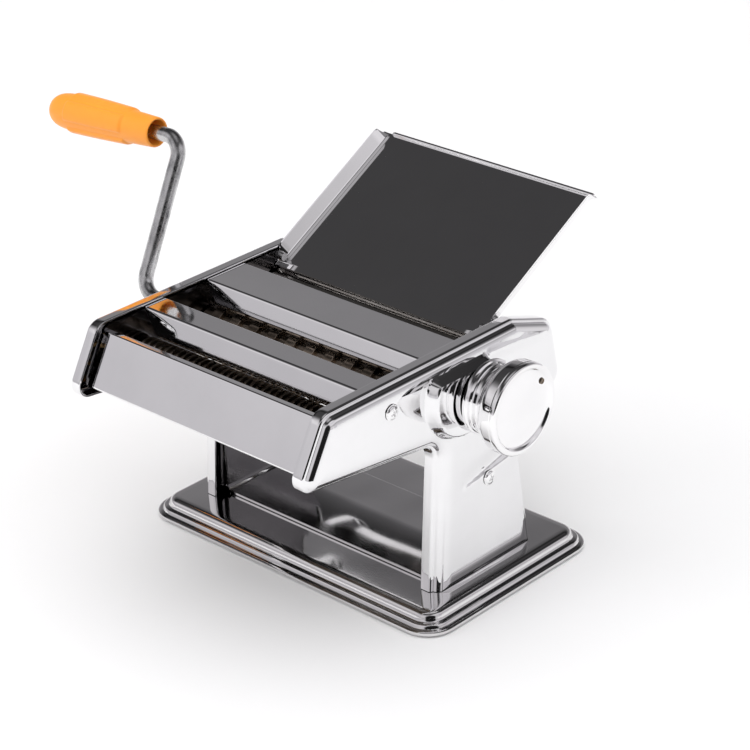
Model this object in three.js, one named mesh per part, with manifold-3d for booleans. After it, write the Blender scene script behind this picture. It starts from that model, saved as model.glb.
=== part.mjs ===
// Hand-cranked pasta roller machine: a pressed base and stand, two T-shaped side panels,
// three pairs of rollers and cutters with their gears, covers, feed tray, adjuster knob and crank.
// Millimetres. X runs across the rollers (+X the knob side, -X the crank side), +Y is the back and
// +Z is up. The pieces are drawn from the middle of the base; the finished group is then moved so
// that its origin is under the middle of the whole machine, on the surface it stands on.

import * as THREE from "three";
import { mergeVertices } from "three/addons/utils/BufferGeometryUtils.js";
import Module from "manifold-3d";

const wasm = await Module();
wasm.setup();

// ---------- driving dimensions ----------
const GAP = 0.3; // clearance left between neighbouring pieces
const SHEET = 1.0; // thickness of the covers, tray and guards

const BASE = { width: 203, depth: 131, corner: 16, rimTop: 3.2, rimBottom: 0.5, top: 10, sheet: 1.2 };
const BASE_STEP = { width: 197, depth: 125, corner: 14, top: 5.6 };
const BASE_DECK = { width: 189, depth: 117, corner: 11 };
const FOOT = { radius: 8, inset: 14 };

const PLATE_IN = 73; // inner face of the inner plates
const PLATE_THICK = 2;
const PLATE_OUT = PLATE_IN + PLATE_THICK;
const PANEL_IN = PLATE_IN; // free edge of the side panels' rims, which pass round the inner plates
const PANEL_OUT = 84; // outer face of the side panels
const PANEL_SHEET = 1.2;
const PANEL_BEND = 4; // radius of the bend between a panel's face and its rim
const HEAD_TOP = 138;
const COVER_END = PLATE_IN - GAP; // half the covers' length

const SMOOTH = { radius: 12.2, z: 113.3, spacing: 24.8, opening: 2.4 };
const WIDE = { y: -38.5, z: 114, spacing: 17.4, land: 9.3, groove: 7.4, pitch: 13 };
const NARROW = { y: -85, z: 112, spacing: 17.4, land: 9.3, groove: 7.4, pitch: 4 };
const BARREL_HALF = 71.8; // half the length of every roller and cutter barrel
const JOURNAL = 4;
const PROUD = 0.2; // how far bushes and rod ends stand out of the inner plates
const BUSH = { bore: JOURNAL + GAP, outer: 6.2 };
const SHAFT_LEFT = -81; // left ends of the driven shafts, where the crank plugs in
const SOCKET = { width: 2.8, depth: 4.5, hole: 7.5 };

const GEAR = { x0: 75.6, x1: 80.6, shaftEnd: 80.9, tooth: 1.05, addendum: 0.8, dedendum: 1.1 };
const TOOTH_TIP = 0.13; // half width of a tooth's tip and of its root, as shares of the tooth pitch
const TOOTH_ROOT = 0.34;
const KNOB_X = { spindle: 81.3, back: 92.6, front: 116 };
const KNOB_R = { bore: 6.4, well: 12, hub: 16.5, ring: 19.3, waist: 18.2, face: 23.7 };
const KNOB = { hubOut: 1.6, floor: 3, spindleHead: 14, dish: 1.2, cap: 2.2 };
const SPINDLE = { stem: 6, collar: 8, head: 10, headThick: 2 };
const SPRING = { inner: 6.5, outer: 9.2 };

const TRAY = { halfWidth: 72.4, length: 100, flange: 7.5, flangeStart: 8, slope: 28.7, y: 10.5, z: 128.4 };
const TRAY_LIP = { height: 1.6, thick: 2, leftInset: 6, rightInset: 2, overlap: 0.5 };
const TONGUE = { half: 3.4, thick: 2, short: 0.8 }; // the flat on the crank's end
const CRANK = { radius: 4, plane: -124, bend: 11, lean: 25, arm: 84, gripTilt: 3.4 };
const GRIP = { start: 19, length: 79.5, bore: 4.6, inRod: 12, floor: 9 };

// ---------- materials ----------
const finish = (color, metalness, roughness) => new THREE.MeshStandardMaterial({ color, metalness, roughness });
const chrome = () => finish(0xd9d9dc, 1, 0.08);
const zinc = () => finish(0xa9adb2, 1, 0.3);
const darkSteel = () => finish(0x5a5048, 1, 0.35);
const bronze = () => finish(0xa88445, 1, 0.4);
const orange = () => finish(0xff9f2e, 0, 0.45);
const rubber = () => finish(0x202022, 0, 0.85);

const machine = new THREE.Group();
const place = (name, geometry, material) => {
  const mesh = new THREE.Mesh(geometry, material);
  mesh.name = name;
  machine.add(mesh);
  return mesh;
};

// ---------- solids ----------
const bare = (geometry) => {
  const copy = geometry.clone();
  copy.deleteAttribute("normal");
  copy.deleteAttribute("uv");
  return mergeVertices(copy, 1e-4);
};

const toSolid = (geometry) => {
  const merged = bare(geometry);
  const triVerts = new Uint32Array(merged.index.array);
  const vertProperties = new Float32Array(merged.attributes.position.array);
  return new wasm.Manifold(new wasm.Mesh({ numProp: 3, vertProperties, triVerts }));
};

const toGeometry = (solid) => {
  const mesh = solid.getMesh();
  const geometry = new THREE.BufferGeometry();
  geometry.setAttribute("position", new THREE.BufferAttribute(mesh.vertProperties, 3));
  geometry.setIndex(new THREE.BufferAttribute(mesh.triVerts, 1));
  return geometry;
};

const join = (first, ...others) => toGeometry(others.reduce((sum, part) => sum.add(toSolid(part)), toSolid(first)));
const cut = (first, ...tools) => toGeometry(tools.reduce((rest, tool) => rest.subtract(toSolid(tool)), toSolid(first)));
const overlap = (first, second) => toGeometry(toSolid(first).intersect(toSolid(second)));

const box = (x0, x1, y0, y1, z0, z1) =>
  new THREE.BoxGeometry(x1 - x0, y1 - y0, z1 - z0).translate((x0 + x1) / 2, (y0 + y1) / 2, (z0 + z1) / 2);

// Turns a shape drawn in (y, z) and extruded along its own z into one that runs along X.
const ALONG_X = new THREE.Matrix4().makeBasis(
  new THREE.Vector3(0, 1, 0),
  new THREE.Vector3(0, 0, 1),
  new THREE.Vector3(1, 0, 0),
);

const extrudeX = (shape, x0, x1, options = {}) =>
  new THREE.ExtrudeGeometry(shape, { depth: x1 - x0, bevelEnabled: false, curveSegments: 6, ...options })
    .applyMatrix4(ALONG_X)
    .translate(x0, 0, 0);

// A body of revolution about an axis along X, from [x, radius] points.
const revolveX = (profile, y, z, segments) =>
  new THREE.LatheGeometry(profile.map(([x, r]) => new THREE.Vector2(r, x)), segments)
    .applyMatrix4(new THREE.Matrix4().makeBasis(
      new THREE.Vector3(0, 1, 0),
      new THREE.Vector3(1, 0, 0),
      new THREE.Vector3(0, 0, -1),
    ))
    .translate(0, y, z);

const rodX = (x0, x1, radius, y, z, segments = 16) =>
  revolveX([[x0, 0], [x0, radius], [x1, radius], [x1, 0]], y, z, segments);

const ringX = (x0, x1, inner, outer, y, z, segments = 16) =>
  revolveX([[x0, inner], [x0, outer], [x1, outer], [x1, inner], [x0, inner]], y, z, segments);

// A closed outline with rounded corners, from [y, z, corner radius] points.
const roundedShape = (corners, steps = 4) => {
  const points = [];
  corners.forEach(([y, z, radius = 0], i) => {
    const corner = new THREE.Vector2(y, z);
    const [py, pz] = corners[(i + corners.length - 1) % corners.length];
    const [ny, nz] = corners[(i + 1) % corners.length];
    const back = new THREE.Vector2(py, pz).sub(corner).normalize();
    const ahead = new THREE.Vector2(ny, nz).sub(corner).normalize();
    if (radius === 0) {
      points.push(corner);
      return;
    }
    const half = Math.acos(back.dot(ahead)) / 2;
    const bisector = back.clone().add(ahead).normalize();
    const centre = corner.clone().addScaledVector(bisector, radius / Math.sin(half));
    const from = corner.clone().addScaledVector(back, radius / Math.tan(half)).sub(centre);
    const turn = Math.PI - 2 * half;
    const side = Math.sign(back.cross(ahead));
    for (let k = 0; k <= steps; k += 1) {
      points.push(from.clone().rotateAround(new THREE.Vector2(), (-side * turn * k) / steps).add(centre));
    }
  });
  return new THREE.Shape(points);
};

const circlePath = (y, z, radius, count = 16) => {
  const points = [];
  for (let k = 0; k < count; k += 1) {
    const angle = (-2 * Math.PI * k) / count;
    points.push(new THREE.Vector2(y + radius * Math.cos(angle), z + radius * Math.sin(angle)));
  }
  return new THREE.Path(points);
};

// A sheet that follows a bent line in (y, z), thickened to its left, as a closed strip.
const sheetShape = (line, thickness) => {
  const points = line.map(([y, z]) => new THREE.Vector2(y, z));
  const offset = points.map((point, i) => {
    const before = points[Math.max(i - 1, 0)];
    const after = points[Math.min(i + 1, points.length - 1)];
    const first = (i > 0 ? point.clone().sub(before) : after.clone().sub(point)).normalize();
    const second = (i < points.length - 1 ? after.clone().sub(point) : first.clone()).normalize();
    const normal = new THREE.Vector2(-first.y - second.y, first.x + second.x).normalize();
    const stretch = thickness / normal.dot(new THREE.Vector2(-first.y, first.x));
    return point.clone().addScaledVector(normal, stretch);
  });
  return new THREE.Shape([...points, ...offset.reverse()]);
};

// ---------- base, feet and stand ----------
const slab = ({ width, depth, corner }, z0, z1, shrink = 0) => {
  const w = width / 2 - shrink;
  const d = depth / 2 - shrink;
  const r = corner - shrink;
  const outline = roundedShape([[w, d, r], [-w, d, r], [-w, -d, r], [w, -d, r]]);
  return new THREE.ExtrudeGeometry(outline, { depth: z1 - z0, bevelEnabled: false }).translate(0, 0, z0);
};

const makeBase = () => {
  const rimWidth = 5;
  const pan = join(
    slab(BASE, BASE.rimBottom, BASE.rimTop),
    slab(BASE_STEP, BASE.rimTop - GAP, BASE_STEP.top),
    slab(BASE_DECK, BASE_STEP.top - GAP, BASE.top),
  );
  const hollow = join(
    slab(BASE, BASE.rimBottom - 1, BASE_STEP.top - BASE.sheet, rimWidth),
    slab(BASE_DECK, BASE_STEP.top - BASE.sheet - GAP, BASE.top - BASE.sheet, BASE.sheet),
  );
  place("base_plate", cut(pan, hollow), chrome());
};

const makeFeet = () => {
  const x = BASE_DECK.width / 2 - FOOT.inset;
  const y = BASE_DECK.depth / 2 - FOOT.inset;
  const height = BASE.top - BASE.sheet - GAP;
  const corners = { front_left: [-x, -y], front_right: [x, -y], rear_left: [-x, y], rear_right: [x, y] };
  for (const [corner, [footX, footY]] of Object.entries(corners)) {
    const foot = new THREE.CylinderGeometry(FOOT.radius, FOOT.radius, height, 20)
      .rotateX(Math.PI / 2)
      .translate(footX, footY, height / 2);
    place(`rubber_foot_${corner}`, foot, rubber());
  }
};

const STAND = { front: -33, rear: 28, top: 62, thick: 1.5, half: PLATE_IN - GAP };

// A U-shaped plate that lies on the base and turns up inside both legs.
const makeStand = () => {
  const floor = BASE.top + GAP;
  const line = [[STAND.half, STAND.top], [STAND.half, floor], [-STAND.half, floor], [-STAND.half, STAND.top]];
  const bracket = new THREE.ExtrudeGeometry(sheetShape(line.reverse(), STAND.thick), {
    depth: STAND.rear - STAND.front,
    bevelEnabled: false,
  })
    .rotateX(Math.PI / 2)
    .translate(0, STAND.rear, 0);
  const { y, z } = SCREWS[1];
  const screwHole = rodX(-STAND.half - 1, STAND.half + 1, SCREW.shank + GAP, y, z, 12);
  place("stand_bracket", cut(bracket, screwHole), chrome());
};

// ---------- side panels and inner plates ----------
const LEG_FOOT = BASE.top + GAP;
const PANEL_OUTLINE = [
  [-113.7, HEAD_TOP, 9],
  [-133, 102.6, 7],
  [-36.5, 91.3, 8],
  [-41, LEG_FOOT, 0],
  [36, LEG_FOOT, 0],
  [23.5, 85.5, 10],
  [60.5, 89.5, 11],
  [52.5, 127.5, 10],
  [22, HEAD_TOP, 6],
];
const PANEL_EXTRA = 6; // drawn past the rim's edge, then trimmed
const PANEL_WALL = 3; // left standing at each side of a leg's open foot

const rounded = (bend, inset) => ({
  bevelEnabled: true,
  bevelSize: bend,
  bevelThickness: bend,
  bevelOffset: -bend - inset,
  bevelSegments: 3,
});

const SHAFTS = {
  smoothFront: { y: -SMOOTH.spacing / 2, z: SMOOTH.z },
  smoothRear: { y: SMOOTH.spacing / 2, z: SMOOTH.z },
  wideFront: { y: WIDE.y - WIDE.spacing, z: WIDE.z },
  wideRear: { y: WIDE.y, z: WIDE.z },
  narrowFront: { y: NARROW.y - NARROW.spacing, z: NARROW.z },
  narrowRear: { y: NARROW.y, z: NARROW.z },
};
const DRIVEN = [SHAFTS.smoothRear, SHAFTS.wideRear, SHAFTS.narrowRear];

const SCREWS = [{ y: -72, z: 125 }, { y: -0.8, z: 60.8 }];
const SCREW = { shank: 1.8, head: 4.2, headHeight: 1.6, headEdge: 0.7, crown: 0.55, past: 3 };

const BOSS = { y: -24, z: 118, radius: 24, top: 126.5, height: 90 };

// The pressed boss on the knob side: a round swelling cut off level under the panel's top bend.
const bossSolid = (shrink, x0, x1) => {
  const swelling = revolveX(
    [[x0, 0], [x0, BOSS.radius - shrink], [x1, BOSS.radius - 3 - shrink], [x1, 0]], BOSS.y, BOSS.z, 32);
  return overlap(swelling, box(x0 - 1, x1 + 1, -60, 30, 80, BOSS.top - shrink));
};

const makePanel = (name, side, holes) => {
  const outline = roundedShape(PANEL_OUTLINE);
  const bend = PANEL_BEND - PANEL_SHEET;
  const outer = extrudeX(outline, PANEL_IN - PANEL_EXTRA, PANEL_OUT - PANEL_BEND, rounded(PANEL_BEND, 0));
  const inner = extrudeX(outline, PANEL_IN - 2 * PANEL_EXTRA, PANEL_OUT - PANEL_BEND, rounded(bend, PANEL_SHEET));
  const skin = side > 0 ? join(outer, bossSolid(0, PANEL_OUT - 1, BOSS.height)) : outer;
  const hollow = side > 0
    ? join(inner, bossSolid(PANEL_SHEET, PANEL_OUT - 3, BOSS.height - PANEL_SHEET))
    : inner;
  const tools = holes.map(({ y, z, radius }) => rodX(PANEL_IN, KNOB_X.front, radius, y, z, 20));
  const trim = box(0, PANEL_IN, -BASE.width, BASE.width, 0, 2 * HEAD_TOP);
  const [[footFront], [footRear]] = [PANEL_OUTLINE[3], PANEL_OUTLINE[4]];
  const openFoot = box(
    PANEL_IN - 1, PANEL_OUT - PANEL_SHEET, footFront + PANEL_WALL, footRear - PANEL_WALL, LEG_FOOT - 5, LEG_FOOT + 5);
  const panel = cut(skin, hollow, trim, openFoot, ...tools);
  if (side < 0) {
    panel.scale(-1, 1, 1);
    panel.setIndex(new THREE.BufferAttribute(panel.index.array.slice().reverse(), 1));
  }
  place(name, panel, chrome());
};

const makePanels = () => {
  const screwHoles = SCREWS.map((screw) => ({ ...screw, radius: SCREW.shank + GAP }));
  const socketHoles = DRIVEN.map((shaft) => ({ ...shaft, radius: SOCKET.hole }));
  makePanel("right_side_panel", 1, [...screwHoles, { ...SHAFTS.smoothFront, radius: 9.3 }]);
  makePanel("left_side_panel", -1, [...screwHoles, ...socketHoles]);
};

// The inner plates carry every bush; the front roller's bushes ride in a slot.
const PLATE_OUTLINE = [
  [-109, 135.5, 6],
  [-125.5, 105, 5],
  [-33, 94, 6],
  [-36, 14, 2],
  [31, 14, 2],
  [20, 89, 6],
  [53, 92.5, 8],
  [48.5, 125, 7],
  [20, 135.5, 4],
];
const RODS = {
  front_tie_rod: { y: -115.4, z: 107.6, radius: 2.6 },
  middle_tie_rod: { ...SCREWS[0], radius: 2.8 },
  lower_tie_rod: { y: -24, z: 97.5, radius: 2.8 },
  tray_rest_rod: { y: 25.8, z: 130.4, radius: 2.8 },
};
const ROD_NECK = 2;

const slotPath = ({ y, z }, radius, travel) => {
  const points = [];
  for (let k = 0; k <= 16; k += 1) {
    const angle = Math.PI / 2 - (Math.PI * k) / 8;
    const shift = k <= 8 ? 0 : -travel;
    points.push(new THREE.Vector2(y + shift + radius * Math.cos(angle), z + radius * Math.sin(angle)));
  }
  points.pop();
  points.push(new THREE.Vector2(y - travel, z + radius));
  return new THREE.Path(points);
};

const makeInnerPlate = (name, side) => {
  const shape = roundedShape(PLATE_OUTLINE, 3);
  for (const [key, shaft] of Object.entries(SHAFTS)) {
    const travel = key === "smoothFront" ? SMOOTH.opening + GAP : 0;
    const hole = BUSH.outer + GAP;
    shape.holes.push(travel ? slotPath(shaft, hole, travel) : circlePath(shaft.y, shaft.z, hole));
  }
  for (const rod of Object.values(RODS)) shape.holes.push(circlePath(rod.y, rod.z, ROD_NECK + GAP, 10));
  shape.holes.push(circlePath(TRAY_PIN.y, TRAY_PIN.z, TRAY_PIN.neck + GAP, 10));
  shape.holes.push(circlePath(SCREWS[1].y, SCREWS[1].z, SCREW.shank + GAP, 10));
  const x0 = side > 0 ? PLATE_IN : -PLATE_OUT;
  place(name, extrudeX(shape, x0, x0 + PLATE_THICK), zinc());
};

const makeRods = () => {
  const shoulder = PLATE_IN - GAP;
  const end = PLATE_OUT + PROUD;
  for (const [name, { y, z, radius }] of Object.entries(RODS)) {
    const profile = [
      [-end, 0], [-end, ROD_NECK], [-shoulder, ROD_NECK], [-shoulder, radius],
      [shoulder, radius], [shoulder, ROD_NECK], [end, ROD_NECK], [end, 0],
    ];
    place(name, revolveX(profile, y, z, 12), zinc());
  }
};

// Domed screws hold the side panels to the rod ends and to the stand bracket.
const makeScrews = () => {
  const names = ["upper", "lower"];
  SCREWS.forEach(({ y, z }, i) => {
    for (const side of [1, -1]) {
      const tip = i === 0 ? PLATE_OUT + 1 : PLATE_IN - GAP - STAND.thick - SCREW.past;
      const head = PANEL_OUT + GAP;
      const profile = [
        [tip, 0], [tip, SCREW.shank], [head, SCREW.shank], [head, SCREW.head],
        [head + SCREW.headEdge, SCREW.head], [head + SCREW.headHeight, SCREW.head * SCREW.crown],
        [head + SCREW.headHeight, 0],
      ];
      const ordered = side > 0 ? profile : profile.map(([x, r]) => [-x, r]).reverse();
      place(`${names[i]}_screw_${side > 0 ? "right" : "left"}`, revolveX(ordered, y, z, 14), zinc());
    }
  });
};

// ---------- covers, guards and tray ----------
const strip = (line) => extrudeX(sheetShape(line, SHEET), -COVER_END, COVER_END);
const COVER_TOP = 136.6;
const COVER_LIP = 3.4; // depth of the fold along a cover's rear edge

// A cover: a fold at the rear, a level top, and a front wall that slopes down over the cutters.
// The wall's ends are cut in, so that it is narrower at its foot than at its top.
const makeCover = (name, rear, front, [footY, footZ], cutIn) => {
  const sheet = strip([[rear, COVER_TOP - COVER_LIP], [rear, COVER_TOP], [front, COVER_TOP], [footY, footZ]]);
  const wallTop = COVER_TOP - 2 * SHEET;
  const ends = [1, -1].map((side) => {
    const corner = new THREE.Shape([
      new THREE.Vector2(side * (COVER_END + 1), wallTop),
      new THREE.Vector2(side * COVER_END, wallTop),
      new THREE.Vector2(side * (COVER_END - cutIn), footZ - 2 * SHEET),
      new THREE.Vector2(side * (COVER_END + 1), footZ - 2 * SHEET),
    ]);
    return new THREE.ExtrudeGeometry(corner, { depth: front - footY + 2 * SHEET, bevelEnabled: false })
      .rotateX(Math.PI / 2)
      .translate(0, front + SHEET, 0);
  });
  place(name, cut(sheet, ...ends), chrome());
};

const makeCovers = () => {
  place("front_apron", strip([[-106.5, 133.6], [-110, 134], [-124.4, 108.2], [-121.5, 106.6]]), chrome());
  makeCover("middle_cover", -67.8, -82.3, [-86.9, 126], 17);
  makeCover("rear_cover", -11.4, -38.7, [-42.9, 127.3], 14);
  place("rear_guard", strip([[39, 93.2], [49.5, 95.5], [44.5, 122.5], [36, 126]]), chrome());
};

const trayAngle = THREE.MathUtils.degToRad(TRAY.slope);
const onTray = (along, above) => ({
  y: TRAY.y + along * Math.cos(trayAngle) - above * Math.sin(trayAngle),
  z: TRAY.z + along * Math.sin(trayAngle) + above * Math.cos(trayAngle),
});
const TRAY_PIN = { ...onTray(4.2, 3), radius: 2.2, neck: 1.4, reach: 5.5 };

const makeTray = () => {
  const w = TRAY.halfWidth;
  const flat = box(-w, w, 0, TRAY.length, -SHEET, 0);
  const wall = (x0) => box(
    x0, x0 + SHEET, TRAY.flangeStart, TRAY.length - TRAY_LIP.thick, -SHEET / 2, TRAY.flange);
  const lipStart = TRAY.length - TRAY_LIP.overlap;
  const lip = box(
    -w + TRAY_LIP.leftInset, w - TRAY_LIP.rightInset, lipStart, lipStart + TRAY_LIP.thick, -SHEET, TRAY_LIP.height);
  const tray = join(flat, wall(-w), wall(w - SHEET), lip);
  tray.rotateX(trayAngle).translate(0, TRAY.y, TRAY.z);
  place("feed_tray", tray, chrome());
};

const makeTrayPins = () => {
  for (const side of [1, -1]) {
    const tip = PLATE_IN - TRAY_PIN.reach;
    const profile = [
      [tip, 0], [tip, TRAY_PIN.radius], [PLATE_IN - GAP, TRAY_PIN.radius], [PLATE_IN - GAP, TRAY_PIN.neck],
      [PLATE_OUT, TRAY_PIN.neck], [PLATE_OUT, 0],
    ];
    const ordered = side > 0 ? profile : profile.map(([x, r]) => [-x, r]).reverse();
    place(`tray_pin_${side > 0 ? "right" : "left"}`, revolveX(ordered, TRAY_PIN.y, TRAY_PIN.z, 12), zinc());
  }
};

// ---------- rollers, cutters, bushes, gears ----------
const shaftProfile = (barrel, driven) => {
  const left = driven ? SHAFT_LEFT : -PLATE_OUT - 1;
  return [[left, 0], [left, JOURNAL], ...barrel, [GEAR.shaftEnd, JOURNAL], [GEAR.shaftEnd, 0]];
};

const smoothBarrel = () => [
  [-BARREL_HALF, JOURNAL], [-BARREL_HALF, SMOOTH.radius], [BARREL_HALF, SMOOTH.radius], [BARREL_HALF, JOURNAL],
];

// Square rings and grooves; the mate's rings run in the grooves, so it starts half a pitch along.
const cutterBarrel = ({ land, groove, pitch }, firstIsLand) => {
  const play = 0.25;
  const points = [[-BARREL_HALF, JOURNAL], [-BARREL_HALF, groove]];
  const count = Math.floor((2 * BARREL_HALF - 2) / pitch);
  const start = (-count * pitch) / 2;
  for (let k = 0; k < count; k += 1) {
    const x0 = start + k * pitch + (firstIsLand ? 0 : pitch / 2) + play;
    const x1 = x0 + pitch / 2 - 2 * play;
    points.push([x0, groove], [x0, land], [x1, land], [x1, groove]);
  }
  points.push([BARREL_HALF, groove], [BARREL_HALF, JOURNAL]);
  return points;
};

const makeShaft = (name, barrel, { y, z }, driven, segments) => {
  const body = revolveX(shaftProfile(barrel, driven), y, z, segments);
  const slot = box(SHAFT_LEFT - 1, SHAFT_LEFT + SOCKET.depth, y - 9, y + 9, z - SOCKET.width / 2, z + SOCKET.width / 2);
  place(name, driven ? cut(body, slot) : bare(body), darkSteel());
};

const gearShape = (pitchRadius, teeth, half, bore) => {
  const points = [];
  const outer = pitchRadius + GEAR.tooth * GEAR.addendum;
  const root = pitchRadius - GEAR.tooth * GEAR.dedendum;
  const step = (2 * Math.PI) / teeth;
  const corners = [[-TOOTH_ROOT, root], [-TOOTH_TIP, outer], [TOOTH_TIP, outer], [TOOTH_ROOT, root]];
  for (let k = 0; k < teeth; k += 1) {
    for (const [offset, radius] of corners) {
      const angle = step * (k + (half ? 0.5 : 0) + offset);
      points.push(new THREE.Vector2(radius * Math.cos(angle), radius * Math.sin(angle)));
    }
  }
  const shape = new THREE.Shape(points);
  shape.holes.push(circlePath(0, 0, bore, 12));
  return shape;
};

const GEARS = {
  smooth: { pitch: SMOOTH.spacing / 2, teeth: 18 },
  wide: { pitch: WIDE.spacing / 2, teeth: 14 },
  narrow: { pitch: NARROW.spacing / 2, teeth: 14 },
};

// The front gear of a pair is turned by half a tooth so that the two mesh along their centre line.
const makeGear = (name, { pitch, teeth }, { y, z }, half) => {
  const gear = extrudeX(gearShape(pitch, teeth, half, JOURNAL + GAP), GEAR.x0, GEAR.x1).translate(0, y, z);
  place(name, gear, zinc());
};

const makeBushes = (name, { y, z }) => {
  for (const side of [1, -1]) {
    const x0 = side > 0 ? PLATE_IN - PROUD : -PLATE_OUT - PROUD;
    const label = `${name}_bush_${side > 0 ? "right" : "left"}`;
    place(label, ringX(x0, x0 + PLATE_THICK + 2 * PROUD, BUSH.bore, BUSH.outer, y, z, 12), bronze());
  }
};

const makeTrains = () => {
  makeShaft("smooth_roller_front", smoothBarrel(), SHAFTS.smoothFront, false, 24);
  makeShaft("smooth_roller_rear", smoothBarrel(), SHAFTS.smoothRear, true, 24);
  makeShaft("wide_cutter_front", cutterBarrel(WIDE, false), SHAFTS.wideFront, false, 14);
  makeShaft("wide_cutter_rear", cutterBarrel(WIDE, true), SHAFTS.wideRear, true, 14);
  makeShaft("narrow_cutter_front", cutterBarrel(NARROW, false), SHAFTS.narrowFront, false, 10);
  makeShaft("narrow_cutter_rear", cutterBarrel(NARROW, true), SHAFTS.narrowRear, true, 10);
  makeGear("smooth_gear_front", GEARS.smooth, SHAFTS.smoothFront, true);
  makeGear("smooth_gear_rear", GEARS.smooth, SHAFTS.smoothRear, false);
  makeGear("wide_gear_front", GEARS.wide, SHAFTS.wideFront, true);
  makeGear("wide_gear_rear", GEARS.wide, SHAFTS.wideRear, false);
  makeGear("narrow_gear_front", GEARS.narrow, SHAFTS.narrowFront, true);
  makeGear("narrow_gear_rear", GEARS.narrow, SHAFTS.narrowRear, false);
  makeBushes("smooth_front", SHAFTS.smoothFront);
  makeBushes("smooth_rear", SHAFTS.smoothRear);
  makeBushes("wide_front", SHAFTS.wideFront);
  makeBushes("wide_rear", SHAFTS.wideRear);
  makeBushes("narrow_front", SHAFTS.narrowFront);
  makeBushes("narrow_rear", SHAFTS.narrowRear);
};

// ---------- scrapers ----------
const SCRAPER = { clear: 0.6, thick: 1.2, depth: 6 };

const makeScrapers = () => {
  for (const [name, { y, z }] of [["front", SHAFTS.smoothFront], ["rear", SHAFTS.smoothRear]]) {
    const top = z - SMOOTH.radius - SCRAPER.clear;
    const half = SCRAPER.thick / 2;
    place(`smooth_scraper_${name}`, box(-COVER_END, COVER_END, y - half, y + half, top - SCRAPER.depth, top), zinc());
  }
};

// ---------- adjuster ----------
const makeAdjuster = () => {
  const { y, z } = SHAFTS.smoothFront;
  const collar = BOSS.height - PANEL_SHEET - GAP;
  const seat = KNOB_X.back + KNOB.floor;
  const head = KNOB_X.back + KNOB.spindleHead;
  const hub = KNOB_X.back - KNOB.hubOut;
  const dish = KNOB_X.front - KNOB.dish;
  const headEnd = head + SPINDLE.headThick;
  const spindle = [
    [KNOB_X.spindle, 0], [KNOB_X.spindle, SPINDLE.collar], [collar, SPINDLE.collar], [collar, SPINDLE.stem],
    [head, SPINDLE.stem], [head, SPINDLE.head], [headEnd, SPINDLE.head], [headEnd, 0],
  ];
  place("adjuster_spindle", revolveX(spindle, y, z, 20), zinc());
  const knob = [
    [hub, KNOB_R.bore], [hub, KNOB_R.hub], [KNOB_X.back, KNOB_R.hub], [KNOB_X.back, KNOB_R.ring],
    [KNOB_X.back + 1.9, KNOB_R.ring], [KNOB_X.back + 2.4, KNOB_R.waist], [KNOB_X.back + 8.4, KNOB_R.waist],
    [KNOB_X.back + 13, KNOB_R.face - 1], [KNOB_X.back + 14.9, KNOB_R.face], [KNOB_X.front - 1.5, KNOB_R.face],
    [KNOB_X.front, KNOB_R.face - 1], [KNOB_X.front, KNOB_R.face - 2.6], [dish, KNOB_R.face - 3.4],
    [dish, 0], [dish - KNOB.cap, 0], [dish - KNOB.cap, KNOB_R.well],
    [seat, KNOB_R.well], [seat, KNOB_R.bore], [hub, KNOB_R.bore],
  ];
  place("adjuster_knob", revolveX(knob, y, z, 28), chrome());
  place("knob_spring", ringX(seat + GAP, head - GAP, SPRING.inner, SPRING.outer, y, z, 14), zinc());
};

// ---------- crank ----------
const makeCrank = () => {
  const { y, z } = SHAFTS.wideRear;
  const lean = THREE.MathUtils.degToRad(CRANK.lean);
  const tilt = THREE.MathUtils.degToRad(CRANK.gripTilt);
  const start = new THREE.Vector3(SHAFT_LEFT - 0.4, y, z);
  const low = new THREE.Vector3(CRANK.plane, y, z);
  const up = new THREE.Vector3(0, Math.sin(lean), Math.cos(lean));
  const high = low.clone().addScaledVector(up, CRANK.arm);
  const out = new THREE.Vector3(-Math.cos(tilt), 0, 0).addScaledVector(up, -Math.sin(tilt));
  const end = high.clone().addScaledVector(out, GRIP.start + GRIP.length - GRIP.inRod);

  const path = new THREE.CurvePath();
  const bendAt = (corner, before, after) => {
    const a = corner.clone().addScaledVector(before, CRANK.bend);
    const b = corner.clone().addScaledVector(after, CRANK.bend);
    return [a, new THREE.QuadraticBezierCurve3(a, corner, b), b];
  };
  const [a1, bend1, b1] = bendAt(low, new THREE.Vector3(1, 0, 0), up);
  const [a2, bend2, b2] = bendAt(high, up.clone().negate(), out);
  path.add(new THREE.LineCurve3(start, a1));
  path.add(bend1);
  path.add(new THREE.LineCurve3(b1, a2));
  path.add(bend2);
  path.add(new THREE.LineCurve3(b2, end));
  const section = new THREE.Shape(circlePath(0, 0, CRANK.radius, 10).getPoints().reverse());
  const rod = new THREE.ExtrudeGeometry(section, { steps: 44, extrudePath: path, bevelEnabled: false });
  const tongue = box(
    start.x - 1, SHAFT_LEFT + SOCKET.depth - TONGUE.short, y - TONGUE.half, y + TONGUE.half,
    z - TONGUE.thick / 2, z + TONGUE.thick / 2);
  place("crank_rod", join(rod, tongue), zinc());

  const { length, bore, floor } = GRIP;
  const grip = new THREE.LatheGeometry([
    [bore, 0], [8.1, 0], [8.9, 18], [10.1, 21], [11, 61], [10.1, 64], [9.9, length - 8], [8.3, length - 2.5],
    [5, length], [0, length], [0, length - floor], [bore, length - floor], [bore, 0],
  ].map(([r, along]) => new THREE.Vector2(r, along)), 20);
  const turn = new THREE.Quaternion().setFromUnitVectors(new THREE.Vector3(0, 1, 0), out);
  const root = high.clone().addScaledVector(out, GRIP.start);
  grip.applyQuaternion(turn).translate(root.x, root.y, root.z);
  place("crank_grip", grip, orange());
};

makeBase();
makeFeet();
makeStand();
makePanels();
makeInnerPlate("right_inner_plate", 1);
makeInnerPlate("left_inner_plate", -1);
makeRods();
makeScrews();
makeCovers();
makeTray();
makeTrayPins();
makeTrains();
makeScrapers();
makeAdjuster();
makeCrank();

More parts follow.
